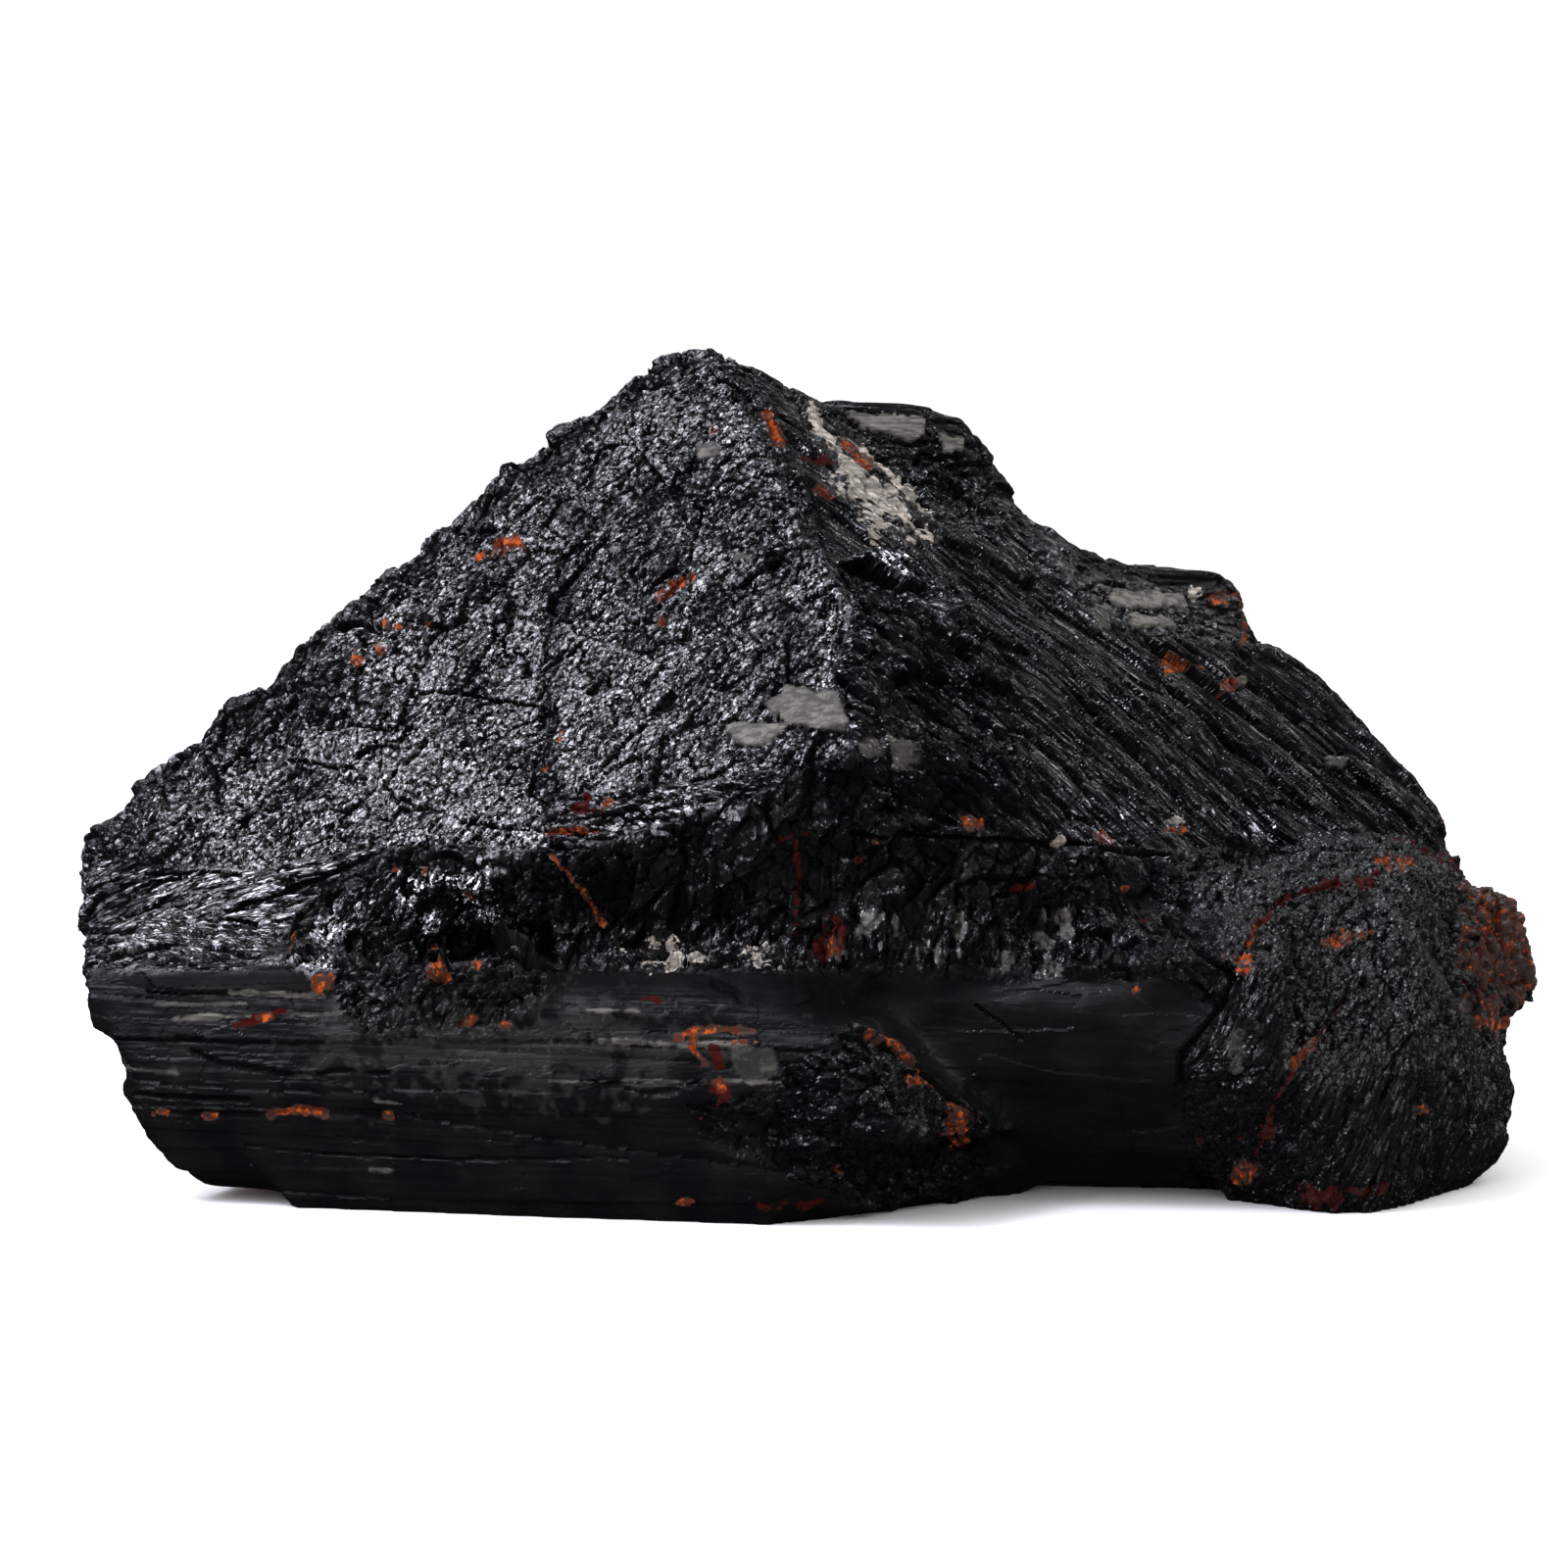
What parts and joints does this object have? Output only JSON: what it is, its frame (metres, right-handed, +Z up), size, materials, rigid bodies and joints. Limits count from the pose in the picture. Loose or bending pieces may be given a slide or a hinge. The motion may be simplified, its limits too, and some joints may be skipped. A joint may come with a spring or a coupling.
{
  "type": "black tourmaline specimen",
  "caption": "Rough chunk of intergrown black tourmaline crystals: a steep wedge of granular fracture over a long striated prism, with rust stains.",
  "frame": {"origin": "middle of the bounding box at the level the stone rests on", "axes": "+X along the parallel crystals, from the stepped left end to the rusty lump on the right; +Y from the front face to the back; +Z up"},
  "size_m": [0.192, 0.111, 0.107],
  "materials": {
    "schorl": "near-black vitreous mineral: granular sparkle on broken faces, fine striations on prism faces, rust stains in the cracks"
  },
  "bodies": {
    "root": {"black_tourmaline": "schorl"}
  },
  "joints": []
}
